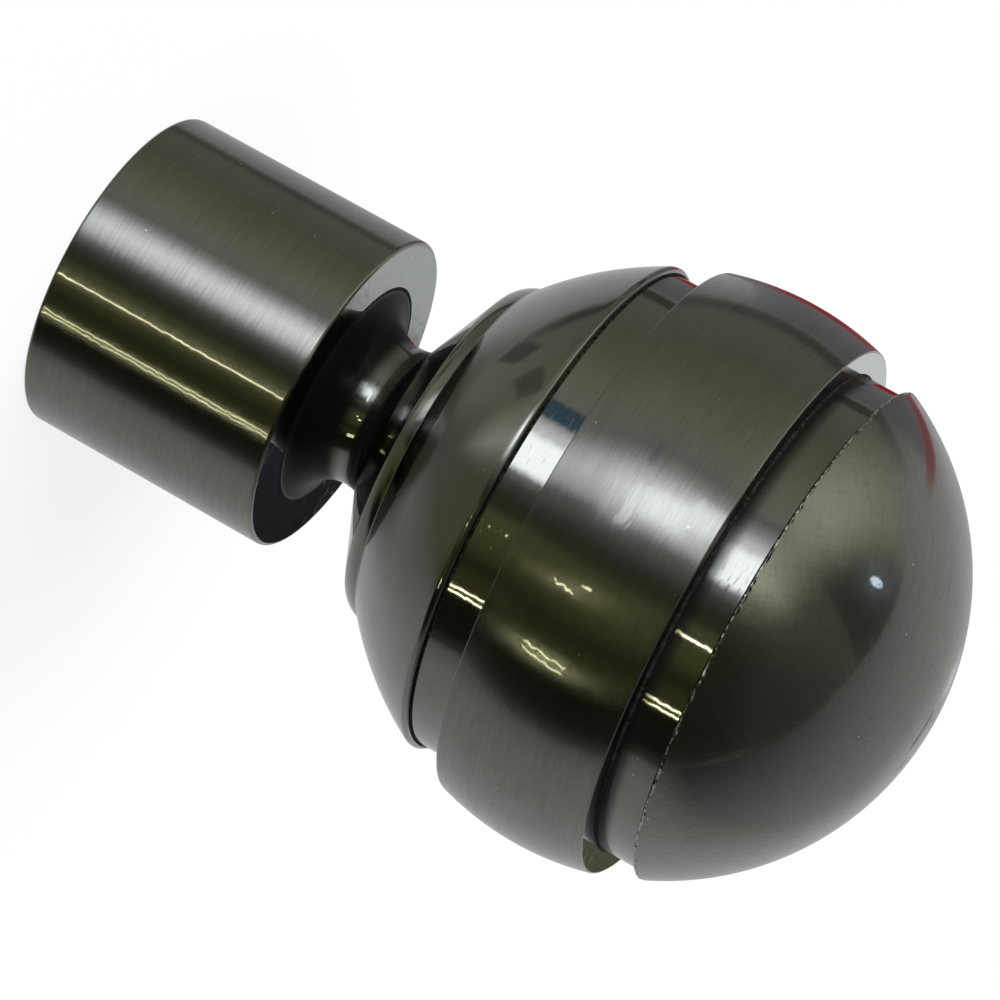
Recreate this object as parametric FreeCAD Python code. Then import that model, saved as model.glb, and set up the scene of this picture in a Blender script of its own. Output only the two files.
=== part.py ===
# Curtain pole finial: a turned metal ball on a waisted neck, with a cup-shaped collar
# that slides over the end of a 28 mm pole and is held there by a grub screw.
# Millimetres. +Z runs from the collar's mouth to the tip of the ball, and the origin is
# the centre of the mouth, so the part stands on its mouth as it does on a shelf.
import FreeCAD, Part
import math
import os

# Driving dimensions of the collar and its socket
pole_diameter = 28.0
pole_clearance = 0.3        # all round the pole, so that it slides in by hand
collar_wall = 2.2
socket_depth = 22.0
end_wall = 4.0              # solid metal between the socket's floor and the end face
mouth_chamfer = 0.6         # lead-in at the socket's mouth
collar_edge_break = 0.4     # on both outer edges of the collar

# Driving dimensions of the neck, the flare and the bead
neck_diameter = 14.8
neck_hollow = 4.3           # radius of the hollow curve between the end face and the flare
neck_run_out = 1.8          # how far the hollow runs past the thinnest place
flare_length = 4.9
bead_back_diameter = 34.3
bead_front_diameter = 36.1
bead_width = 1.7

# Driving dimensions of the ball and its two turned grooves
ball_diameter = 57.7
ball_centre_past_bead = 23.0
band_width = 15.7
groove_width = 4.4
groove_depth = 2.55         # from the edge of the band down to the groove's floor
cheek_edge_break = 0.4
dome_inset = 0.15           # the dome lies a hair inside the band's sphere

# Driving dimensions of the grub screw, M4 with a hexagon socket and a flat point
screw_diameter = 4.0
screw_length = 3.0
screw_thread_play = 0.05    # between the screw and its tapped hole, all round
screw_point_gap = 0.1       # backed off until its point is just clear of the pole
screw_height = 11.0         # from the mouth to the screw's axis
screw_chamfer = 0.4
screw_key_size = 2.0        # across the flats of the hexagon
screw_key_depth = 1.5

# Radii and heights that follow from the sizes above
socket_radius = pole_diameter / 2 + pole_clearance
collar_radius = socket_radius + collar_wall
collar_length = socket_depth + end_wall

neck_radius = neck_diameter / 2
hollow_centre_radius = neck_radius + neck_hollow
hollow_centre_height = collar_length + neck_hollow
crease_height = hollow_centre_height + neck_run_out
crease_radius = hollow_centre_radius - math.sqrt(neck_hollow ** 2 - neck_run_out ** 2)

bead_back_height = crease_height + flare_length
bead_front_height = bead_back_height + bead_width
bead_back_radius = bead_back_diameter / 2
bead_front_radius = bead_front_diameter / 2

ball_radius = ball_diameter / 2
ball_centre = bead_front_height + ball_centre_past_bead
dome_radius = ball_radius - dome_inset
band_back = ball_centre - band_width / 2
band_front = ball_centre + band_width / 2
cheek_height = band_back - groove_width
dome_height = band_front + groove_width
tip_height = ball_centre + dome_radius


def sphere_radius_at(height, radius):
    """Radius of the ring that a sphere about the ball's centre has at a height."""
    return math.sqrt(radius ** 2 - (height - ball_centre) ** 2)


band_edge_radius = sphere_radius_at(band_back, ball_radius)
groove_floor_radius = band_edge_radius - groove_depth
cheek_shoulder_height = cheek_height - cheek_edge_break
cheek_shoulder_radius = sphere_radius_at(cheek_shoulder_height, ball_radius)
dome_rim_radius = sphere_radius_at(dome_height, dome_radius)


def point(radius, height):
    """A point of the half section, which lies in the XZ plane."""
    return FreeCAD.Vector(radius, 0, height)


def cheek_arc(start, end):
    """The back cheek: an arc from the bead that meets the ball's sphere smoothly at its end.

    Its centre is on the line from that end to the ball's centre, as far from the end as
    from the bead.
    """
    outward = (end - point(0, ball_centre)).normalize()
    chord = start - end
    radius = -chord.dot(chord) / (2 * chord.dot(outward))
    centre = end - outward * radius
    middle = centre + ((start + end) * 0.5 - centre).normalize() * radius
    return Part.Arc(start, middle, end).toShape()


def sphere_arc(radius, start_height, end_height):
    """An arc of a sphere about the ball's centre, between two heights."""
    middle_height = (start_height + end_height) / 2
    heights = (start_height, middle_height, end_height)
    points = [point(math.sqrt(max(radius ** 2 - (h - ball_centre) ** 2, 0)), h) for h in heights]
    return Part.Arc(*points).toShape()


def lines(points):
    """Straight edges from each point to the next."""
    return [Part.LineSegment(start, end).toShape() for start, end in zip(points, points[1:])]


def half_section():
    """Closed outline of half the finial, from the socket's floor round to the tip."""
    socket = [
        point(0, socket_depth),
        point(socket_radius, socket_depth),
        point(socket_radius, mouth_chamfer),
        point(socket_radius + mouth_chamfer, 0),
    ]
    collar = [
        point(collar_radius - collar_edge_break, 0),
        point(collar_radius, collar_edge_break),
        point(collar_radius, collar_length - collar_edge_break),
        point(collar_radius - collar_edge_break, collar_length),
        point(hollow_centre_radius, collar_length),
    ]
    waist = point(neck_radius, hollow_centre_height)
    flare = [
        point(crease_radius, crease_height),
        point(bead_back_radius, bead_back_height),
        point(bead_front_radius, bead_front_height),
    ]
    first_groove = [
        point(cheek_shoulder_radius, cheek_shoulder_height),
        point(cheek_shoulder_radius - cheek_edge_break, cheek_height),
        point(groove_floor_radius, cheek_height),
        point(groove_floor_radius, band_back),
        point(band_edge_radius, band_back),
    ]
    second_groove = [
        point(band_edge_radius, band_front),
        point(groove_floor_radius, band_front),
        point(groove_floor_radius, dome_height),
        point(dome_rim_radius, dome_height),
    ]
    tip = point(0, tip_height)
    edges = lines(socket + collar)
    edges.append(Part.Arc(collar[-1], waist, flare[0]).toShape())
    edges += lines(flare)
    edges.append(cheek_arc(flare[-1], first_groove[0]))
    edges += lines(first_groove)
    edges.append(sphere_arc(ball_radius, band_back, band_front))
    edges += lines(second_groove)
    edges.append(sphere_arc(dome_radius, dome_height, tip_height))
    edges += lines([tip, socket[0]])
    return Part.Face(Part.Wire(edges))


def tapped_hole():
    """Cutter for the grub screw's hole: through one wall of the collar, on the +Y side."""
    start = FreeCAD.Vector(0, 0, screw_height)
    return Part.makeCylinder(screw_diameter / 2, 2 * collar_radius, start, FreeCAD.Vector(0, 1, 0))


def finial_body():
    """Collar, neck, bead and ball, cast and turned as one piece."""
    turned = half_section().revolve(FreeCAD.Vector(0, 0, 0), FreeCAD.Vector(0, 0, 1), 360)
    return turned.cut(tapped_hole())


def grub_screw():
    """M4 set screw, its flat point towards the axis, backed off to leave the socket clear."""
    radius = screw_diameter / 2 - screw_thread_play
    along = FreeCAD.Vector(0, 1, 0)
    start = FreeCAD.Vector(0, socket_radius + screw_point_gap, screw_height)
    end = start + along * screw_length
    shank = Part.makeCylinder(radius, screw_length, start, along)
    screw = shank.makeChamfer(screw_chamfer, [e for e in shank.Edges if isinstance(e.Curve, Part.Circle)])
    corner_radius = screw_key_size / math.sqrt(3)
    corners = []
    for step in range(7):
        angle = math.radians(60 * step + 30)
        corner = FreeCAD.Vector(corner_radius * math.cos(angle), 0, corner_radius * math.sin(angle))
        corners.append(end + corner)
    key = Part.Face(Part.makePolygon(corners)).extrude(along * -screw_key_depth)
    return screw.cut(key)


parts = {
    "finial_body": finial_body(),
    "grub_screw": grub_screw(),
}

os.makedirs("parts", exist_ok=True)
for name, shape in parts.items():
    shape.exportStep("parts/" + name + ".step")
    box = shape.BoundBox
    print(name, "valid", shape.isValid(), "solids", len(shape.Solids), "volume %.1f" % shape.Volume,
          "z %.2f to %.2f" % (box.ZMin, box.ZMax), "width %.2f" % box.XLength)
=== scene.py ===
"""Curtain pole finial in black nickel: a turned ball on a waisted neck with a cup for the pole.

Metres, in the model's own frame: +Z runs from the mouth of the collar to the tip of the ball.
"""
import math

import bpy
import numpy as np
from mathutils import Matrix, Vector


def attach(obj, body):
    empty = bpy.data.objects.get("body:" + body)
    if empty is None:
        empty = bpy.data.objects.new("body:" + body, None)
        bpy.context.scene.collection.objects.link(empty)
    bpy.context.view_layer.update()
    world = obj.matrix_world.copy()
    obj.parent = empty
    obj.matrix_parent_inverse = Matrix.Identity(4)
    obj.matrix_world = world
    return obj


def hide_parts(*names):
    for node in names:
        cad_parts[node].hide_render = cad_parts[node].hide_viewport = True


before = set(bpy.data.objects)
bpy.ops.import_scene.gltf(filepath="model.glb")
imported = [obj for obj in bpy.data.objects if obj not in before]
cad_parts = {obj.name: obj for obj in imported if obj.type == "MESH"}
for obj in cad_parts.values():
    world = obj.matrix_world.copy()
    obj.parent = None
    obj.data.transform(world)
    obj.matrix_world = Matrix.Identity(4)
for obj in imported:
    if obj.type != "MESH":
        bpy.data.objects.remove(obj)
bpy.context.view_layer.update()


# Finial body: collar, neck, bead and ball, one casting turned on a lathe and plated black nickel.
# It is brushed round its axis on the collar and band, buffed on the cheek, hatched on the dome,
# and polished on the end face, the neck and the grooves, with a chipped rim round the dome.
# Painted shade darkens the neck's hollow, the crease under the flare, the groove feet and the second groove's
# floor by the band.
collar_radius = 0.0165
collar_length = 0.026
collar_edge_round = 0.0004
socket_radius = 0.0143
socket_depth = 0.022
socket_floor_round = 0.0008
mouth_chamfer = 0.0006
mouth_edge_round = 0.0001
neck_radius = 0.0074
neck_hollow = 0.0043
neck_run_out = 0.0018
hollow_painted_shade = 0.09        # radians of the neck's hollow, from the end face on, that take the painted shade finish
crease_round = 0.0002
flare_length = 0.0049
flare_edge_round = 0.0003
bead_back_radius = 0.01715
bead_front_radius = 0.01805
bead_width = 0.0017
bead_bow = 0.00015
bead_edge_round = 0.0002
ball_radius = 0.02885
ball_centre = 0.0617
dome_radius = 0.0287
band_half_width = 0.00785
groove_width = 0.0044
groove_depth = 0.00255
cheek_rim_round = 0.0005
band_edge_round = 0.0002
groove_foot_round = 0.00022
dome_rim_round = 0.0001
rim_land = 0.0004          # dome next to its rim, where a chip ends
chip_depth = 0.0002        # deepest chip along the dome's rim
chip_spread = 0.2          # share of a chip's depth that each of its neighbours adds
chip_tilt = 0.6            # how far the deepest chip's normals are turned
chip_seed = 5
hole_radius = 0.002
hole_height = 0.011
hole_edge_break = 0.0001
window_height = 0.006      # square of wall about the tapped hole that is meshed round it
window_rows = 12
window_half_columns = 12
window_shares = (0.25, 0.5, 0.75, 1)     # how far each ring of the window has turned into the hole's circle
same_place = 1e-7          # lengths that differ by less are the same
painted_shade_heights = (          # share of painted shade over the plate, at heights in the neck and the second groove
    (0.02600, 0.0), (0.02602, 1.0), (0.02890, 0.97), (0.02985, 0.1), (0.03040, 0.0), (0.03120, 0.8),
    (0.03260, 0.75), (0.03420, 0.0), (0.06955, 0.0), (0.06958, 0.95), (0.07040, 0.88), (0.07130, 0.0),
)
round_steps = 3
turns = 400
# The blackened finish is painted shade: a near-black dull colour standing in for shade in corners.
brushed, polished, hatched, bored, buffed, blackened, chipped = range(7)     # finishes


def straight(start, end, steps=1):
    """Points evenly spaced from start to end, each with the direction of travel."""
    start, end = np.array(start, float), np.array(end, float)
    share = np.linspace(0, 1, steps + 1)[:, None]
    direction = (end - start) / np.linalg.norm(end - start)
    return start + share * (end - start), np.repeat(direction[None], steps + 1, axis=0)


def curve(centre, radius, first, last, steps):
    """Points on a circle from one angle to another, each with the direction of travel.

    The angle is measured from the axis of the finial's radius towards its height.
    """
    angle = np.linspace(first, last, steps + 1)
    way = math.copysign(1, last - first)
    points = np.stack([np.cos(angle), np.sin(angle)], axis=1) * radius + np.array(centre)
    return points, np.stack([-np.sin(angle), np.cos(angle)], axis=1) * way


def bowed(start, end, bow, steps):
    """Points on an arc from start to end that stands out to the right of the way by bow."""
    start, end = np.array(start), np.array(end)
    half = np.linalg.norm(end - start) / 2
    radius = (half ** 2 + bow ** 2) / (2 * bow)
    forward = (end - start) / (2 * half)
    centre = (start + end) / 2 + np.array([-forward[1], forward[0]]) * (radius - bow)
    first = math.atan2(start[1] - centre[1], start[0] - centre[0])
    return curve(centre, radius, first, first + 2 * math.asin(half / radius), steps)


def rounded(before, after, radius, steps):
    """Two stretches of the outline joined by an arc that touches both.

    The arc starts and ends at radius times the tangent of half the turn from the corner,
    and both stretches are shortened to there.
    """
    heading_in, heading_out = before[1][-1], after[1][0]
    turn = math.atan2(
        heading_in[0] * heading_out[1] - heading_in[1] * heading_out[0], heading_in @ heading_out
    )
    cut = radius * math.tan(abs(turn) / 2)
    side = math.copysign(1, turn)
    start = before[0][-1] - heading_in * cut
    centre = start + radius * side * np.array([-heading_in[1], heading_in[0]])
    first = math.atan2(start[1] - centre[1], start[0] - centre[0])
    arc = curve(centre, radius, first, first + turn, steps)
    kept = np.linalg.norm(before[0] - before[0][-1], axis=1) > cut + same_place
    left = np.linalg.norm(after[0] - after[0][0], axis=1) > cut + same_place
    return (before[0][kept], before[1][kept]), arc, (after[0][left], after[1][left])


def outline():
    """The finial's half section from the socket's floor round to the tip of the ball.

    Gives the points (radius, height), the directions of travel there, and for each point
    the finish of the surface that leads to it. A stretch comes with its finish, the radius
    of the round that ends it, and that round's finish.
    """
    sphere_at = lambda height, radius: math.sqrt(radius ** 2 - (height - ball_centre) ** 2)
    hollow_radius = neck_radius + neck_hollow
    hollow_height = collar_length + neck_hollow
    hollow_centre = (hollow_radius, hollow_height)
    hollow_foot = 1.5 * math.pi
    hollow_clean = hollow_foot - hollow_painted_shade
    crease_height = hollow_height + neck_run_out
    run_out_angle = math.asin(neck_run_out / neck_hollow)
    crease_radius = hollow_radius - neck_hollow * math.cos(run_out_angle)
    bead_back_height = crease_height + flare_length
    bead_front = (bead_front_radius, bead_back_height + bead_width)
    band_back = ball_centre - band_half_width
    band_front = ball_centre + band_half_width
    band_edge = sphere_at(band_back, ball_radius)
    floor_radius = band_edge - groove_depth
    cheek_height = band_back - groove_width
    cheek_end = np.array([sphere_at(cheek_height, ball_radius), cheek_height])
    outward = (cheek_end - (0, ball_centre)) / ball_radius
    chord = np.array(bead_front) - cheek_end
    cheek_radius = -(chord @ chord) / (2 * chord @ outward)
    cheek_centre = cheek_end - outward * cheek_radius
    cheek_first = math.atan2(bead_front[1] - cheek_centre[1], bead_front[0] - cheek_centre[0])
    cheek_last = math.atan2(outward[1], outward[0])
    band_angle = math.asin(band_half_width / ball_radius)
    dome_height = band_front + groove_width
    dome_angle = math.asin((dome_height - ball_centre) / dome_radius)
    land_angle = dome_angle + rim_land / dome_radius
    dome_edge = sphere_at(dome_height, dome_radius)
    window_foot = hole_height - window_height / 2
    window_head = hole_height + window_height / 2
    mouth = socket_radius + mouth_chamfer

    mouth_edge = (mouth_edge_round, bored)
    collar_edge = (collar_edge_round, brushed)
    band_edge_finish = (band_edge_round, brushed)
    # The groove feet take the blackened finish, which is painted shade.
    wall_foot = (groove_foot_round, blackened)
    dome_rim = (dome_rim_round, chipped)
    plain_joint = (0, 0)
    stretches = [
        (straight((0, socket_depth), (socket_radius, socket_depth), steps=2),
         bored, (socket_floor_round, bored)),
        (straight((socket_radius, socket_depth), (socket_radius, window_head), steps=3), bored, plain_joint),
        (straight((socket_radius, window_head), (socket_radius, window_foot), window_rows), bored, plain_joint),
        (straight((socket_radius, window_foot), (socket_radius, mouth_chamfer), steps=3), bored, mouth_edge),
        (straight((socket_radius, mouth_chamfer), (mouth, 0)), bored, mouth_edge),
        (straight((mouth, 0), (collar_radius, 0)), brushed, collar_edge),
        (straight((collar_radius, 0), (collar_radius, window_foot), steps=3), brushed, plain_joint),
        (straight((collar_radius, window_foot), (collar_radius, window_head), window_rows),
         brushed, plain_joint),
        (straight((collar_radius, window_head), (collar_radius, collar_length), steps=5), brushed, collar_edge),
        (straight((collar_radius, collar_length), (hollow_radius, collar_length)), polished, plain_joint),
        # The start of the neck's hollow takes the blackened finish, which is painted shade.
        (curve(hollow_centre, neck_hollow, hollow_foot, hollow_clean, steps=1), blackened, plain_joint),
        (curve(hollow_centre, neck_hollow, hollow_clean, math.pi - run_out_angle, steps=21),
         polished, (crease_round, polished)),
        (straight((crease_radius, crease_height), (bead_back_radius, bead_back_height), steps=8),
         polished, (flare_edge_round, polished)),
        (bowed((bead_back_radius, bead_back_height), bead_front, bead_bow, steps=8),
         polished, (bead_edge_round, polished)),
        (curve(cheek_centre, cheek_radius, cheek_first, cheek_last, steps=18),
         buffed, (cheek_rim_round, buffed)),
        (straight(cheek_end, (floor_radius, cheek_height)), polished, wall_foot),
        (straight((floor_radius, cheek_height), (floor_radius, band_back), steps=2), polished, wall_foot),
        (straight((floor_radius, band_back), (band_edge, band_back)), polished, band_edge_finish),
        (curve((0, ball_centre), ball_radius, -band_angle, band_angle, steps=18), brushed, band_edge_finish),
        (straight((band_edge, band_front), (floor_radius, band_front)), polished, wall_foot),
        (straight((floor_radius, band_front), (floor_radius, dome_height), steps=8), polished, wall_foot),
        (straight((floor_radius, dome_height), (dome_edge, dome_height)), polished, dome_rim),
        (curve((0, ball_centre), dome_radius, dome_angle, land_angle, steps=1), hatched, plain_joint),
        (curve((0, ball_centre), dome_radius, land_angle, math.pi / 2, steps=31), hatched, plain_joint),
    ]
    done = []
    current, finish, (next_round, round_finish) = stretches[0]
    for following, next_finish, round_after in stretches[1:]:
        if next_round:
            current, arc, following = rounded(current, following, next_round, round_steps)
            done.append((current, [finish] * len(current[0])))
            done.append((arc, [finish] + [round_finish] * round_steps))
        else:
            done.append((current, [finish] * len(current[0])))
            following = (following[0][1:], following[1][1:])
        current, finish, (next_round, round_finish) = following, next_finish, round_after
    done.append((current, [finish] * len(current[0])))
    points = np.concatenate([stretch[0] for stretch, _ in done])
    headings = np.concatenate([stretch[1] for stretch, _ in done])
    return points, headings, np.array([kind for _, kinds in done for kind in kinds])


def turned(points, headings):
    """Rings of vertices and normals: radius times cosine and sine of the turn, and the height.

    A ring's normal has the heading's height part outwards and its radius part downwards.
    """
    angle = np.arange(turns) * 2 * math.pi / turns
    radius, height = points[:, 0, None], points[:, 1, None]
    rings = [radius * np.cos(angle), radius * np.sin(angle), height + 0 * angle]
    leans = [headings[:, 1, None] * np.cos(angle), headings[:, 1, None] * np.sin(angle),
             -headings[:, 0, None] + 0 * angle]
    return np.stack(rings, axis=2), np.stack(leans, axis=2)


def chip(rings, leans, finishes):
    """Chips the rim of the dome: its rings sink along their normals by an uneven depth.

    Each column's depth is a share of the deepest chip: the cube of a seeded draw from -1 to
    1, nothing where the draw is negative, evened out a little with its neighbours. The
    normals of a chip are turned at random, by the cube root of its share, as torn metal's are.
    """
    draw = np.random.default_rng(chip_seed)
    share = np.clip(draw.random(turns) * 2 - 1, 0, 1) ** 3
    share = (1 - 2 * chip_spread) * share + chip_spread * np.roll(share, 1) + chip_spread * np.roll(share, -1)
    rim = np.nonzero(finishes == chipped)[0]
    sunk = leans[rim].mean(axis=0)
    sunk = sunk / np.linalg.norm(sunk, axis=1)[:, None] * (share * chip_depth)[:, None]
    rings[rim] -= sunk
    tilt = draw.normal(size=(len(rim), turns, 3)) * (np.cbrt(share) * chip_tilt)[:, None]
    torn = leans[rim] + tilt
    leans[rim] = torn / np.linalg.norm(torn, axis=2)[:, :, None]


def facing_out(quads, vertices, normals):
    """The quads, each turned over where its diagonals' cross product points against its normals."""
    corner = vertices[quads]
    across = np.cross(corner[:, 2] - corner[:, 0], corner[:, 3] - corner[:, 1])
    against = (across * normals[quads].sum(axis=1)).sum(axis=1) < 0
    return np.where(against[:, None], quads[:, ::-1], quads)


def finial_mesh():
    """The turned skin with the tapped hole through the collar's wall.

    Rings run round the axis. Where the hole is, a window of each wall is left out and
    bridged to the hole by rings that change evenly from the window's border to a circle.
    """
    points, headings, finishes = outline()
    rings, leans = turned(points[1:-1], headings[1:-1])
    chip(rings, leans, finishes[1:-1])
    rows = len(rings)
    vertices = rings.reshape(-1, 3)
    normals = leans.reshape(-1, 3)
    number = np.arange(rows * turns).reshape(rows, turns)
    quads = np.stack(
        [number[:-1], np.roll(number, -1, axis=1)[:-1], np.roll(number, -1, axis=1)[1:], number[1:]], axis=2
    )
    quad_finish = np.repeat(finishes[2:-1, None], turns, axis=1)
    centre_column = turns // 4
    first_column, last_column = centre_column - window_half_columns, centre_column + window_half_columns
    open_quads = np.zeros((rows - 1, turns), bool)
    columns = np.arange(first_column, last_column + 1)

    heights, radii = points[1:-1, 1], points[1:-1, 0]
    borders = []
    for wall in (collar_radius, socket_radius):
        on_wall = np.abs(radii - wall) < same_place
        in_window = np.abs(heights - hole_height) < window_height / 2 + same_place
        wall_rows = np.nonzero(on_wall & in_window)[0]
        wall_rows = wall_rows[np.argsort(heights[wall_rows])]
        open_quads[wall_rows.min():wall_rows.max(), first_column:last_column] = True
        borders.append(np.concatenate([
            number[wall_rows[0], columns],
            number[wall_rows[1:-1], last_column],
            number[wall_rows[-1], columns[::-1]],
            number[wall_rows[-2:0:-1], first_column],
        ]))

    outer_border = vertices[borders[0]]
    around = np.arctan2(outer_border[:, 2] - hole_height, outer_border[:, 0])
    circle = np.stack([np.cos(around), np.sin(around)], axis=1)

    def window_ring(border, wall, share):
        """The border of a window moved by a share of the way to the hole's edge, on the wall's cylinder."""
        place = (1 - share) * vertices[border][:, [0, 2]]
        place = place + share * (circle * (hole_radius + hole_edge_break) + (0, hole_height))
        depth = np.sqrt(wall ** 2 - place[:, 0] ** 2)
        return np.stack([place[:, 0], depth, place[:, 1]], axis=1)

    def hole_ring(wall, inset):
        """The circle where the hole meets a wall's cylinder, moved along the hole by inset."""
        across = circle * hole_radius
        depth = np.sqrt(wall ** 2 - across[:, 0] ** 2) + inset
        return np.stack([across[:, 0], depth, across[:, 1] + hole_height], axis=1)

    upright = np.array([1, 1, 0])
    outer_rings = [window_ring(borders[0], collar_radius, share) for share in window_shares]
    inner_rings = [window_ring(borders[1], socket_radius, share) for share in window_shares[::-1]]
    walls = [hole_ring(collar_radius, -hole_edge_break), hole_ring(socket_radius, hole_edge_break)]
    inward = -np.stack([circle[:, 0], 0 * around, circle[:, 1]], axis=1)
    hole_normals = [ring * upright / collar_radius for ring in outer_rings] + [inward, inward]
    hole_normals += [-ring * upright / socket_radius for ring in inner_rings]
    hole_vertices = outer_rings + walls + inner_rings
    hole_number = len(vertices) + np.arange(len(hole_vertices) * len(around)).reshape(-1, len(around))
    chain = np.concatenate([borders[0][None], hole_number, borders[1][None]])
    bridged = np.stack([chain[:-1], np.roll(chain, -1, axis=1)[:-1], np.roll(chain, -1, axis=1)[1:], chain[1:]],
                       axis=2)
    polished_rows = [polished] * (len(walls) + 1)
    hole_finish = np.array([brushed] * len(outer_rings) + polished_rows + [bored] * len(inner_rings))
    bridged_finish = np.repeat(hole_finish[:, None], len(around), axis=1)

    floor_pole = len(vertices) + hole_number.size
    tip_pole = floor_pole + 1
    vertices = np.concatenate([vertices, *hole_vertices, [(0, 0, points[0, 1])], [(0, 0, points[-1, 1])]])
    normals = np.concatenate([normals, *hole_normals, [(0, 0, -1)], [(0, 0, 1)]])
    quads = np.concatenate([quads[~open_quads], bridged.reshape(-1, 4)])
    quad_finish = np.concatenate([quad_finish[~open_quads], bridged_finish.ravel()])
    quads = facing_out(quads, vertices, normals)
    following = np.roll(number, -1, axis=1)
    floor_fan = np.stack([np.full(turns, floor_pole), following[0], number[0]], axis=1)
    tip_fan = np.stack([np.full(turns, tip_pole), number[-1], following[-1]], axis=1)
    fan_finish = np.repeat([finishes[1], finishes[-1]], turns)

    used, quads = np.unique(quads, return_inverse=True)
    renumber = np.zeros(len(vertices), int)
    renumber[used] = np.arange(len(used))
    renumber[[floor_pole, tip_pole]] = len(used), len(used) + 1
    vertices = np.concatenate([vertices[used], vertices[[floor_pole, tip_pole]]])
    normals = np.concatenate([normals[used], normals[[floor_pole, tip_pole]]])
    fans = renumber[np.concatenate([floor_fan, tip_fan])]
    return vertices, normals, quads.reshape(-1, 4), fans, np.concatenate([quad_finish, fan_finish])


def add_painted_shade(piece, vertices):
    """Gives the piece an attribute with the share of painted shade over its plate at each vertex."""
    heights, shares = np.array(painted_shade_heights).T
    stain = piece.data.attributes.new("stain", "FLOAT", "POINT")
    stain.data.foreach_set("value", np.interp(vertices[:, 2], heights, shares))


def new_piece(name, vertices, faces, normals=None):
    """A smooth mesh object at the origin, with the normals given where there are some."""
    mesh = bpy.data.meshes.new(name)
    mesh.from_pydata(vertices.tolist(), [], faces)
    mesh.polygons.foreach_set("use_smooth", np.ones(len(mesh.polygons), bool))
    if normals is not None:
        mesh.normals_split_custom_set_from_vertices(normals.tolist())
    mesh.update()
    piece = bpy.data.objects.new(name, mesh)
    bpy.context.collection.objects.link(piece)
    return piece


class Value:
    """A shader socket that takes part in sums: each operator adds a Math node."""

    def __init__(self, graph, socket):
        self.graph = graph
        self.socket = socket

    def maths(self, operation, *others):
        """One of the Math node's operations on this value and the others."""
        return self.graph.node("ShaderNodeMath", {"operation": operation}, dict(enumerate((self, *others))))

    def __add__(self, other):
        return self.maths("ADD", other)

    __radd__ = __add__

    def __mul__(self, other):
        return self.maths("MULTIPLY", other)

    __rmul__ = __mul__

    def __sub__(self, other):
        return self.maths("SUBTRACT", other)

    def __rsub__(self, other):
        return self.graph.node("ShaderNodeMath", {"operation": "SUBTRACT"}, {0: other, 1: self})

    def __truediv__(self, other):
        return self.maths("DIVIDE", other)

    def __pow__(self, other):
        return self.maths("POWER", other)

    def rises(self, start, end):
        """0 before start, 1 after end, and smooth between them; falling where start is past end."""
        settings = {"interpolation_type": "SMOOTHSTEP"}
        sockets = {"Value": self, "From Min": start, "From Max": end}
        return self.graph.node("ShaderNodeMapRange", settings, sockets)


class Graph:
    """The shader nodes of one material or of the world."""

    def __init__(self, owner):
        owner.use_nodes = True
        self.tree = owner.node_tree
        self.tree.nodes.clear()

    def node(self, kind, settings=None, sockets=None, output=0):
        """Adds a node, gives it its settings and then its inputs, and returns one of its outputs."""
        made = self.tree.nodes.new(kind)
        for name, setting in (settings or {}).items():
            if name == "stops":
                elements = made.color_ramp.elements
                for place, colour in setting[1:-1]:
                    elements.new(place).color = colour
                elements[0].position, elements[0].color = setting[0]
                elements[-1].position, elements[-1].color = setting[-1]
            else:
                setattr(made, name, setting)
        for name, given in (sockets or {}).items():
            if isinstance(given, Value):
                self.tree.links.new(given.socket, made.inputs[name])
            else:
                made.inputs[name].default_value = given
        if made.outputs:
            return Value(self, made.outputs[output])

    def mix(self, share, first, second):
        """One colour turning into another: a Mix node's sockets 6 and 7 and its output 2 are colours."""
        return self.node("ShaderNodeMix", {"data_type": "RGBA"}, {"Factor": share, 6: first, 7: second}, 2)

    def noise(self, place, scale, detail=2.0):
        """Noise between 0 and 1."""
        return self.node("ShaderNodeTexNoise", {}, {"Vector": place, "Scale": scale, "Detail": detail})

    def stretched(self, place, scales):
        """A place with each of its directions scaled."""
        return self.node("ShaderNodeMapping", {}, {"Vector": place, "Scale": scales})

    def turned(self, place, angles):
        """A place turned about the three directions."""
        return self.node("ShaderNodeMapping", {}, {"Vector": place, "Rotation": angles})


black_nickel = (0.335, 0.348, 0.332, 1)
black_nickel_worn = (0.26, 0.27, 0.253, 1)
speck_pale = (0.75, 0.76, 0.74, 1)
# Painted shade colours: near black, standing in for shade in the neck's hollow and the groove corners.
painted_shade_black = (0.010, 0.009, 0.010, 1)
corner_shade_black = (0.008, 0.008, 0.007, 1)
corner_shade_grey = (0.035, 0.034, 0.030, 1)
chip_dark = (0.22, 0.22, 0.208, 1)
chip_bright = (0.92, 0.92, 0.89, 1)
dull_shine = 0.06          # specular level of the painted shade
ring_scales = (320, 320, 6500)           # fine marks of the brush, close together along the axis
broad_ring_scales = (60, 60, 900)
pad_scales = (180, 3200, 3200)
pad_turns = ((0.5, 0.3, 0.4), (-0.7, -0.4, 1.2))
ripple_scales = (650, 650, 1500)
speck_size = (0.05, 0.10)                # of a cell of the pattern, from full to none
speck_draw = (0.87, 0.88)                # draws above this have a speck


def brushed_round(graph, place):
    """Marks of a brush held against the turning finial: thin rings with ragged ends."""
    fine = graph.noise(graph.stretched(place, ring_scales), scale=1.0, detail=4.0)
    broad = graph.noise(graph.stretched(place, broad_ring_scales), scale=1.0)
    return fine * 0.7 + broad * 0.3


def brushed_across(graph, place):
    """Marks of a hand pad drawn over the dome in two directions that cross."""
    first, second = [
        graph.noise(graph.stretched(graph.turned(place, angles), pad_scales), scale=1.0, detail=4.0)
        for angles in pad_turns
    ]
    return first * 0.6 + second * 0.4


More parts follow.
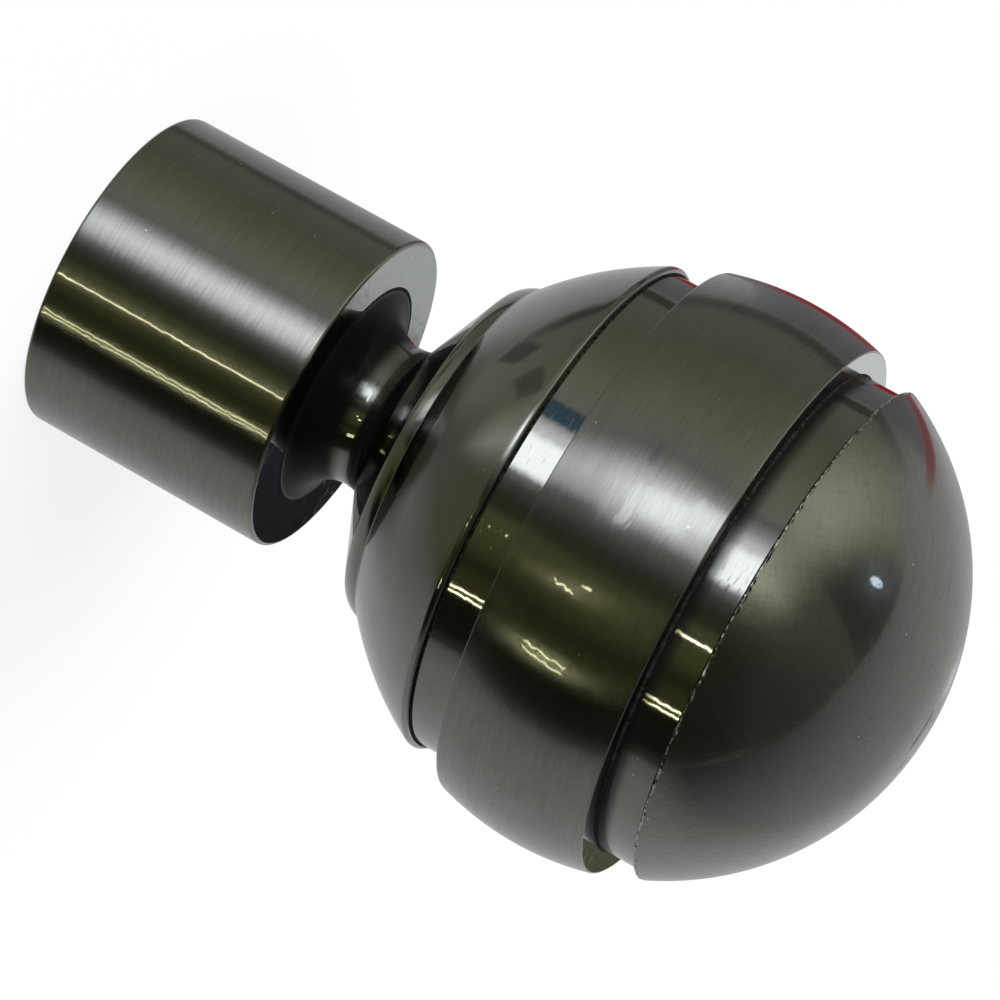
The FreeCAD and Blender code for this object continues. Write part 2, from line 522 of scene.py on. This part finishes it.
def specks(graph, place):
    """Pits and specks of dirt: few of the cells of a cell pattern have a small spot at their middle."""
    sockets = {"Vector": place, "Scale": 700.0}
    distance = graph.node("ShaderNodeTexVoronoi", {}, sockets, "Distance")
    chosen = graph.node("ShaderNodeTexVoronoi", {}, sockets, "Color")
    draw = graph.node("ShaderNodeSeparateXYZ", {}, {0: chosen}, "X")
    return (1 - distance.rises(*speck_size)) * draw.rises(*speck_draw)


def nickel(name, marking, roughness, anisotropy, depth, gloss, ripple_depth, worn=0.0):
    """Black nickel plate: a marked metal under the thin smooth skin that plating leaves.

    depth and ripple_depth are how deep in metres the marks and the skin's ripples are, gloss
    is how much of the skin shows, and worn is how far the marks break it up.
    """
    material = bpy.data.materials.new(name)
    graph = Graph(material)
    place = graph.node("ShaderNodeTexCoord", output="Object")
    marks = marking(graph, place)
    cloud = graph.noise(place, scale=90.0)
    spots = specks(graph, place)
    colour = graph.mix((marks * 0.8 + cloud * 0.2).rises(0.32, 0.64), black_nickel_worn, black_nickel)
    colour = graph.mix(spots, colour, speck_pale)
    bump = graph.node("ShaderNodeBump", {}, {"Strength": 1.0, "Distance": depth, "Height": marks})
    metal = graph.node("ShaderNodeBsdfPrincipled", {}, {
        "Base Color": colour,
        "Metallic": 1.0,
        "Roughness": roughness + (cloud - 0.5) * 0.05,
        "Anisotropic": anisotropy,
        "Anisotropic Rotation": 0.25,
        "Normal": bump,
    })
    ripple = graph.noise(graph.stretched(place, ripple_scales), scale=1.0, detail=1.0)
    ripple_bump = graph.node("ShaderNodeBump", {}, {
        "Strength": 1.0, "Distance": ripple_depth, "Height": ripple,
    })
    skin = graph.node("ShaderNodeBsdfPrincipled", {}, {
        "Base Color": black_nickel, "Metallic": 1.0, "Roughness": 0.04, "Normal": ripple_bump,
    })
    showing = (gloss - (marks - 0.5).maths("ABSOLUTE") * worn) * (1 - spots)
    plated = graph.node("ShaderNodeMixShader", {}, {"Fac": showing, 1: metal, 2: skin})
    # Painted shade: a dull near-black surface, mixed in where the painted shade attribute is set.
    painted_shade_surface = graph.node("ShaderNodeBsdfPrincipled", {}, {
        "Base Color": painted_shade_black, "Roughness": 0.4, "Specular IOR Level": dull_shine,
    })
    stain = graph.node("ShaderNodeAttribute", {"attribute_name": "stain"}, output="Fac")
    surface = graph.node("ShaderNodeMixShader", {}, {"Fac": stain, 1: plated, 2: painted_shade_surface})
    graph.node("ShaderNodeOutputMaterial", {}, {"Surface": surface})
    return material


def corner_painted_shade():
    """Painted shade in the square corners of the grooves and at the start of the neck's hollow, dull and nearly
    black.
    """
    material = bpy.data.materials.new("corner painted shade")
    graph = Graph(material)
    place = graph.node("ShaderNodeTexCoord", output="Object")
    shade_mottle = graph.noise(place, scale=2500.0, detail=3.0)
    graph.node("ShaderNodeOutputMaterial", {}, {"Surface": graph.node("ShaderNodeBsdfPrincipled", {}, {
        "Base Color": graph.mix(shade_mottle.rises(0.4, 0.7), corner_shade_black, corner_shade_grey),
        "Roughness": 0.5 + shade_mottle * 0.3,
        "Specular IOR Level": dull_shine,
    })})
    return material


def torn_rim():
    """The chipped rim of the dome: plate in places, and bright torn metal where it came off."""
    material = bpy.data.materials.new("torn rim")
    graph = Graph(material)
    place = graph.node("ShaderNodeTexCoord", output="Object")
    torn = graph.noise(place, scale=2200.0, detail=3.0).rises(0.48, 0.54)
    graph.node("ShaderNodeOutputMaterial", {}, {"Surface": graph.node("ShaderNodeBsdfPrincipled", {}, {
        "Base Color": graph.mix(torn, chip_dark, chip_bright),
        "Metallic": 1.0,
        "Roughness": 0.25 + torn * 0.2,
    })})
    return material


vertices, normals, quads, fans, finishes = finial_mesh()
finial = new_piece("finial", vertices, quads.tolist() + fans.tolist(), normals)
for material in (
    nickel("brushed nickel", brushed_round, roughness=0.24, anisotropy=0.9, depth=4e-6, gloss=0.30,
           ripple_depth=1.2e-5, worn=0.5),
    nickel("polished nickel", brushed_round, roughness=0.05, anisotropy=0.0, depth=1e-7, gloss=0.6,
           ripple_depth=1.1e-5),
    nickel("hatched nickel", brushed_across, roughness=0.25, anisotropy=0.0, depth=1.5e-5, gloss=0.55,
           ripple_depth=4e-6, worn=2.5),
    nickel("bored nickel", brushed_round, roughness=0.35, anisotropy=0.9, depth=6e-6, gloss=0.0,
           ripple_depth=0.0),
    nickel("buffed nickel", brushed_round, roughness=0.12, anisotropy=0.7, depth=1e-6, gloss=0.6,
           ripple_depth=5e-6, worn=0.5),
    corner_painted_shade(),
    torn_rim(),
):
    finial.data.materials.append(material)
finial.data.polygons.foreach_set("material_index", finishes)
add_painted_shade(finial, vertices)
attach(finial, "root")
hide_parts("finial_body")


# Grub screw: an M4 x 3 set screw of blackened steel, with a rolled thread, a flat point and a
# hexagon socket for a 2 mm key. It sits in the tapped hole, backed off clear of the pole.
crest_radius = 0.00195
core_radius = 0.00152
pitch = 0.0007
screw_chamfer = 0.0004
point_place = 0.0144       # distance of the flat point from the finial's axis
head_place = 0.0174
key_reach = 0.001          # half the width across the flats
key_lead_in = 0.0001
key_depth = 0.0015
flat_share = 0.0625        # half of a crest's or root's flat, as a share of the pitch
flank_share = 0.3125       # one flank, likewise
sharp_angle = 25           # degrees between faces that meet in a sharp edge
steel_dark = (0.055, 0.055, 0.058, 1)
steel_bloom = (0.12, 0.115, 0.11, 1)
screw_turns = 96
rows_a_pitch = 12


def screw_mesh():
    """The screw as rings along its axis, from the middle of its point to the floor of its socket.

    The thread's radius falls from crest to core and back once a pitch, in straight flanks
    between a flat crest and a flat root, and its phase grows by one turn round the screw.
    The ends are cut by 45 degree cones. The socket's radius is that of a hexagon: the reach
    divided by the cosine of the angle to the nearest flat's middle.
    """
    angle = np.arange(screw_turns) * 2 * math.pi / screw_turns
    rows = round((head_place - point_place) / pitch * rows_a_pitch)
    place = np.linspace(point_place, head_place, rows + 1)[:, None]
    phase = (place / pitch - angle / (2 * math.pi)) % 1
    flank = np.clip((np.abs(phase - 0.5) - flat_share) / flank_share, 0, 1)
    thread = crest_radius - (crest_radius - core_radius) * flank
    from_end = np.minimum(place - point_place, head_place - place)
    shank = np.minimum(thread, crest_radius - screw_chamfer + from_end)
    key = key_reach / np.cos(angle - math.pi / 3 * np.round(angle / (math.pi / 3)))
    radii = np.concatenate([shank, [key + key_lead_in], [key], [key]])
    places = np.concatenate([place[:, 0], [head_place, head_place - key_lead_in, head_place - key_depth]])
    rings = np.stack([radii * np.cos(angle), places[:, None] + 0 * radii,
                      hole_height + radii * np.sin(angle)], axis=2)
    poles = np.array([(0, point_place, hole_height), (0, head_place - key_depth, hole_height)])
    vertices = np.concatenate([rings.reshape(-1, 3), poles])
    number = np.arange(radii.size).reshape(radii.shape)
    following = np.roll(number, -1, axis=1)
    quads = np.stack([number[:-1], number[1:], following[1:], following[:-1]], axis=2).reshape(-1, 4)
    point_fan = np.stack([np.full(screw_turns, radii.size), number[0], following[0]], axis=1)
    floor_fan = np.stack([np.full(screw_turns, radii.size + 1), following[-1], number[-1]], axis=1)
    return vertices, quads.tolist() + point_fan.tolist() + floor_fan.tolist()


def blackened_steel():
    """Steel blackened in hot salts: dark, with a faint bloom."""
    material = bpy.data.materials.new("blackened steel")
    graph = Graph(material)
    place = graph.node("ShaderNodeTexCoord", output="Object")
    bloom = graph.noise(place, scale=900.0, detail=4.0)
    grain = graph.noise(place, scale=9000.0)
    bump = graph.node("ShaderNodeBump", {}, {"Strength": 1.0, "Distance": 4e-6, "Height": grain})
    graph.node("ShaderNodeOutputMaterial", {}, {"Surface": graph.node("ShaderNodeBsdfPrincipled", {}, {
        "Base Color": graph.mix(bloom.rises(0.3, 0.7), steel_dark, steel_bloom),
        "Metallic": 1.0,
        "Roughness": 0.32 + bloom * 0.15,
        "Normal": bump,
    })})
    return material


screw_vertices, screw_faces = screw_mesh()
screw = new_piece("screw", screw_vertices, screw_faces)
screw.data.set_sharp_from_angle(angle=math.radians(sharp_angle))
screw.data.materials.append(blackened_steel())
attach(screw, "root")
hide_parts("grub_screw")


# Studio: a pale sweep of card under and round the finial, white to the camera. The metal sees
# the lamps and dark flags that the world holds, so the card is kept out of its reflections.
sweep_radius = 3.0
sweep_place = -0.00002     # a hair under the mouth
sweep_corners = 96
card_white = (1.0, 1.0, 1.0, 1)
card_shade = (0.85, 0.85, 0.85, 1)
shade_share = 0.15         # how much of the card takes the finial's shadow
shadow_reach = (0.13, 0.05)              # distances from the foot with none and with all of the shadow
lamp_strength = 3.2
lamp_spread = 40           # degrees
lamp_lean = (20, -15)      # degrees about X and Y

ring = np.linspace(0, 2 * math.pi, sweep_corners, endpoint=False)
floor_vertices = np.stack(
    [sweep_radius * np.cos(ring), sweep_radius * np.sin(ring), 0 * ring + sweep_place], axis=1
)
floor = new_piece("floor", floor_vertices, [list(range(sweep_corners))])
card = bpy.data.materials.new("pale card")
graph = Graph(card)
white = graph.node("ShaderNodeEmission", {}, {"Color": card_white, "Strength": 1.0})
shade = graph.node("ShaderNodeBsdfDiffuse", {}, {"Color": card_shade})
camera_ray = graph.node("ShaderNodeLightPath", output="Is Camera Ray")
place = graph.node("ShaderNodeTexCoord", output="Object")
away = graph.node("ShaderNodeVectorMath", {"operation": "LENGTH"}, {0: place}, "Value")
whiteness = camera_ray * (1 - away.rises(*shadow_reach) * shade_share)
mixed = graph.node("ShaderNodeMixShader", {}, {"Fac": whiteness, 1: shade, 2: white})
graph.node("ShaderNodeOutputMaterial", {}, {"Surface": mixed})
floor.data.materials.append(card)
floor.visible_glossy = False
lamp_data = bpy.data.lights.new("overhead lamp", "SUN")
lamp_data.energy = lamp_strength
lamp_data.angle = math.radians(lamp_spread)
lamp = bpy.data.objects.new("overhead lamp", lamp_data)
lamp.rotation_euler = (math.radians(lamp_lean[0]), math.radians(lamp_lean[1]), 0)
lamp.visible_glossy = False
bpy.context.collection.objects.link(lamp)


# Light: a soft box and pale card round a dark corner, as turn about the finial's axis in
# degrees, brightness, and blue against red and green. The camera is at turn 0 and the turn
# grows towards +X. Thin tubes hang in the dark corner, and a few small cards stand behind.
round_about = [
    (-180, 0.52, 1.00), (-160, 0.51, 1.00), (-138, 0.42, 1.00), (-128, 0.32, 0.95), (-124, 0.08, 0.90),
    (-119, 0.08, 0.83), (-116, 0.19, 0.82), (-90, 0.17, 0.73), (-74, 0.20, 0.73), (-52, 0.29, 0.78),
    (-42, 0.30, 0.88), (-39, 0.24, 0.92), (-33, 0.60, 1.00), (-28, 1.30, 1.00), (-21, 1.78, 1.04),
    (-12, 1.10, 1.04), (-7, 0.42, 1.00), (-2, 0.12, 0.85), (5, 0.05, 0.66), (10, 0.06, 0.52),
    (14, 0.13, 0.45), (27, 0.10, 0.40), (36, 0.035, 0.36), (46, 0.07, 0.36), (54, 0.015, 0.50),
    (70, 0.015, 0.78), (76, 0.06, 0.84), (79.5, 0.19, 0.86), (90, 0.29, 0.90), (112, 0.35, 0.96),
    (140, 0.47, 1.00), (180, 0.60, 1.00),
]
higher_up = [
    (-180, 0.42, 1.00), (-126, 0.40, 0.90), (-114, 0.36, 0.78), (-102, 0.45, 0.76), (-78, 0.62, 0.76),
    (-66, 0.68, 0.76), (-42, 0.46, 0.76), (-30, 0.60, 0.76), (-18, 0.95, 0.76), (-8, 0.30, 0.72),
    (4, 0.05, 0.68), (18, 0.03, 0.60), (74, 0.02, 0.72), (79, 0.04, 0.74), (83, 0.15, 0.78), (90, 0.17, 0.80),
    (126, 0.27, 0.90), (180, 0.42, 1.00),
]
lower_down = [
    (-180, 0.05, 0.90), (-150, 0.10, 0.90), (-126, 0.26, 0.80), (-66, 0.22, 0.76), (-48, 0.36, 0.80),
    (-30, 0.52, 0.86), (-18, 0.34, 0.80), (-6, 0.19, 0.76), (6, 0.13, 0.66), (42, 0.14, 0.60), (66, 0.14, 0.60),
    (90, 0.20, 0.86), (126, 0.28, 0.90), (138, 0.20, 0.92), (150, 0.06, 0.90), (180, 0.05, 0.90),
]
to_higher_up = (14, 38)    # rises in degrees over which one height gives way to the next
to_overhead = (42, 64)
to_lower_down = (45, 68)   # these two are depths below the horizon
to_underfoot = (72, 88)
overhead = (0.115, 0.115, 0.085)
overhead_right = (0.055, 0.055, 0.042)
overhead_leaf = (0.050, 0.050, 0.038)
to_the_right = (-0.2, 0.3)               # how far across the lamp's side gives way to the right side
leaf_slant = (1.4, 0.2)                  # how the leaf's edge runs across and upward
leaf_edge = 0.03
to_leaf = (50, 56)
underfoot = (0.15, 0.15, 0.125)
wall_slants = ((0.22, 0.09), (0.5, 0.09))          # the two edges of the wall behind, across and upward
wall_edge = 0.015
wall_levels = (0.15, 0.32, -0.11)        # its level, and what it gains behind and to the right
wall_blue = 0.97
to_wall = (26, 38)
tube_edge = (0.6, 1.4)     # of half a tube's width, from full to none
tube_end = 0.6             # softness of a tube's ends, in degrees
tubes = [                  # turn, half the width, foot, head, colour
    (22.5, 0.42, -23.0, -15.5, (10.5, 9.6, 6.2)),
    (18.6, 0.42, -12.4, -9.5, (10.5, 9.6, 6.2)),
    (49.0, 0.24, -23.0, -6.0, (11.0, 10.6, 6.3)),
    (51.6, 0.24, -23.0, -6.0, (11.0, 10.6, 6.3)),
]
small_cards = [            # left, right, foot, head, softness of the sides and of the ends, colour
    (-125.0, -107.0, -64.0, -57.0, 2.0, 1.0, (0.11, 0.10, 0.105)),
    (-90.0, -66.0, -67.5, -59.5, 2.0, 1.0, (0.12, 0.117, 0.09)),
    (-25.5, -14.0, -9.5, 9.0, 3.0, 2.0, (2.75, 2.75, 2.86)),
    (-30.0, -19.5, 7.0, 24.0, 3.0, 3.0, (2.75, 2.75, 2.86)),
    (-24.0, -8.0, -14.8, -9.8, 2.5, 0.3, (2.75, 2.75, 2.86)),
    (-10.0, -1.5, -60.0, -22.5, 3.0, 2.0, (0.16, 0.16, 0.15)),
    (-9.0, -1.5, -9.0, 22.0, 3.0, 1.5, (0.16, 0.16, 0.15)),
    (-170.5, -157.5, -13.5, -5.5, 0.8, 1.2, (0.30, 0.016, 0.020)),
    (-177.8, -175.3, 5.0, 13.7, 0.3, 0.2, (0.86, 0.88, 0.89)),
    (175.8, 177.1, 9.5, 11.1, 0.3, 0.2, (0.085, 0.085, 0.045)),
    (-178.6, -176.0, 15.1, 17.4, 0.7, 0.2, (0.66, 0.68, 0.69)),
    (177.2, 184.0, 15.0, 17.4, 0.3, 0.2, (0.014, 0.013, 0.019)),
    (-184.0, -178.9, 15.0, 17.4, 0.6, 0.2, (0.014, 0.013, 0.019)),
    (-42.0, -33.0, -14.6, -12.4, 1.5, 0.4, (0.07, 0.135, 0.18)),
]
scrim = (-38.0, 0.0, -62.0, -22.5, 4.0, 3.0, 0.26)               # a net, as the cards, with what it dims by
violet_card = (-127.5, -15.8, 19.0, (0.185, 0.176, 0.190))      # right side, foot, head, colour
violet_edges = (1.0, 0.5, 5.0)                                   # softness of its sides, foot and head
strip_turn, strip_lean, strip_half_width = -157.0, 0.75, 2.0     # red strip on the violet card's left side
strip_foot, strip_head = -2.0, 24.0
strip_edges = (0.5, 1.0, 7.0)                                    # softness of its sides, foot and head
strip_colour = (0.30, 0.016, 0.020)
small_lamp = (-99.6, 62.6, 6.5, 1.3, (3.0, 3.5, 4.3))            # turn, rise, half its size in each, colour
small_lamp_edge = (0.4, 1.6)             # squares of the distance from its middle, from full to none
brightest = 3.0


def cards(graph, turn, stops):
    """What stands round the finial at one height, as a ramp over the turn."""
    colours = [
        ((angle + 180) / 360, (level / brightest, level / brightest, level * blue / brightest, 1))
        for angle, level, blue in stops
    ]
    return graph.node("ShaderNodeValToRGB", {"stops": colours}, {"Fac": (turn + 180) / 360})


def lit(levels):
    """Levels of red, green and blue as a colour of the world, whose strength is the brightest."""
    return tuple(level / brightest for level in levels) + (1,)


def between(value, first, last, softness):
    """1 between two values and 0 outside them, with soft ends."""
    return value.rises(first - softness, first + softness) * value.rises(last + softness, last - softness)


world = bpy.data.worlds.new("studio")
bpy.context.scene.world = world
graph = Graph(world)
direction = graph.node("ShaderNodeTexCoord", output="Generated")
across = graph.node("ShaderNodeSeparateXYZ", {}, {0: direction}, "X")
along = graph.node("ShaderNodeSeparateXYZ", {}, {0: direction}, "Y")
upward = graph.node("ShaderNodeSeparateXYZ", {}, {0: direction}, "Z")
turn = across.maths("ARCTAN2", -1 * along) * (180 / math.pi)
rise = upward.maths("ARCSINE") * (180 / math.pi)

seen = graph.mix(rise.rises(*to_higher_up), cards(graph, turn, round_about), cards(graph, turn, higher_up))
ceiling = graph.mix(across.rises(*to_the_right), lit(overhead), lit(overhead_right))
leaf = (along - across * leaf_slant[0] - upward * leaf_slant[1]).rises(-leaf_edge, leaf_edge)
ceiling = graph.mix(leaf * rise.rises(*to_leaf), ceiling, lit(overhead_leaf))
seen = graph.mix(rise.rises(*to_overhead), seen, ceiling)
behind_left, behind_right = [
    (along + across * slant - upward * upward_slant).rises(-wall_edge, wall_edge)
    for slant, upward_slant in wall_slants
]
level, gain_behind, gain_right = wall_levels
wall_level = (level + along * gain_behind + across * gain_right) / brightest
wall_colour = graph.node("ShaderNodeCombineXYZ", {}, {
    "X": wall_level, "Y": wall_level, "Z": wall_level * wall_blue,
})
seen = graph.mix(behind_left * behind_right * rise.rises(*to_wall), seen, wall_colour)
left, right, foot, head, side_softness, end_softness, share = scrim
netted = between(turn, left, right, side_softness) * between(rise, foot, head, end_softness) * share
seen = graph.mix(netted, seen, lit((0, 0, 0)))
seen = graph.mix((-1 * rise).rises(*to_lower_down), seen, cards(graph, turn, lower_down))
seen = graph.mix((-1 * rise).rises(*to_underfoot), seen, lit(underfoot))
from_strip = turn - strip_turn - rise * strip_lean
right, foot, head, colour = violet_card
side, foot_edge, head_edge = violet_edges
within = from_strip.rises(-side, side) * turn.rises(right + side, right - side)
within = within * rise.rises(foot - foot_edge, foot + foot_edge)
within = within * rise.rises(head + head_edge, head - head_edge)
seen = graph.mix(within, seen, lit(colour))
side, foot_edge, head_edge = strip_edges
within = from_strip.maths("ABSOLUTE").rises(strip_half_width + side, strip_half_width - side)
within = within * rise.rises(strip_foot - foot_edge, strip_foot + foot_edge)
within = within * rise.rises(strip_head + head_edge, strip_head - head_edge)
seen = graph.mix(within, seen, lit(strip_colour))
for left, right, foot, head, side_softness, end_softness, colour in small_cards:
    within = between(turn, left, right, side_softness) * between(rise, foot, head, end_softness)
    seen = graph.mix(within, seen, lit(colour))
lamp_turn, lamp_rise, half_turn, half_rise, colour = small_lamp
aside = ((turn - lamp_turn) / half_turn) ** 2 + ((rise - lamp_rise) / half_rise) ** 2
seen = graph.mix(1 - aside.rises(*small_lamp_edge), seen, lit(colour))
for angle, half_width, foot, head, colour in tubes:
    beside = (turn - angle).maths("ABSOLUTE") / half_width
    glow = between(rise, foot, head, tube_end) * (1 - beside.rises(*tube_edge))
    seen = graph.mix(glow, seen, lit(colour))
camera_ray = graph.node("ShaderNodeLightPath", output="Is Camera Ray")
studio = graph.node("ShaderNodeBackground", {}, {"Color": seen, "Strength": brightest})
plain = graph.node("ShaderNodeBackground", {}, {"Color": card_white, "Strength": 1.0})
mixed = graph.node("ShaderNodeMixShader", {}, {"Fac": camera_ray, 1: studio, 2: plain})
graph.node("ShaderNodeOutputWorld", {}, {"Surface": mixed})


# Camera: the finial's axis runs down to the right across the picture and its tip leans towards
# the lens. The place of the mouth is in metres to the right, up and back from the lens.
axis_slope = math.radians(29.29)
axis_lean = math.radians(13.71)
mouth_from_lens = Vector((-0.03678, 0.02237, -0.42794))
lens_length = 158.6

axis = Vector((
    math.cos(axis_lean) * math.cos(axis_slope), -math.cos(axis_lean) * math.sin(axis_slope), math.sin(axis_lean)
))
sideways = Vector((0, 0, -1)).cross(axis).normalized()
turned_round = Matrix((sideways, axis.cross(sideways), axis))
camera_data = bpy.data.cameras.new("camera")
camera_data.lens = lens_length
camera_data.sensor_width = 36
camera_data.clip_start = 0.01
camera_data.clip_end = 20
camera = bpy.data.objects.new("camera", camera_data)
camera.matrix_world = Matrix.Translation(-(turned_round @ mouth_from_lens)) @ turned_round.to_4x4()
bpy.context.collection.objects.link(camera)
bpy.context.scene.camera = camera
bpy.context.scene.view_settings.view_transform = "Standard"
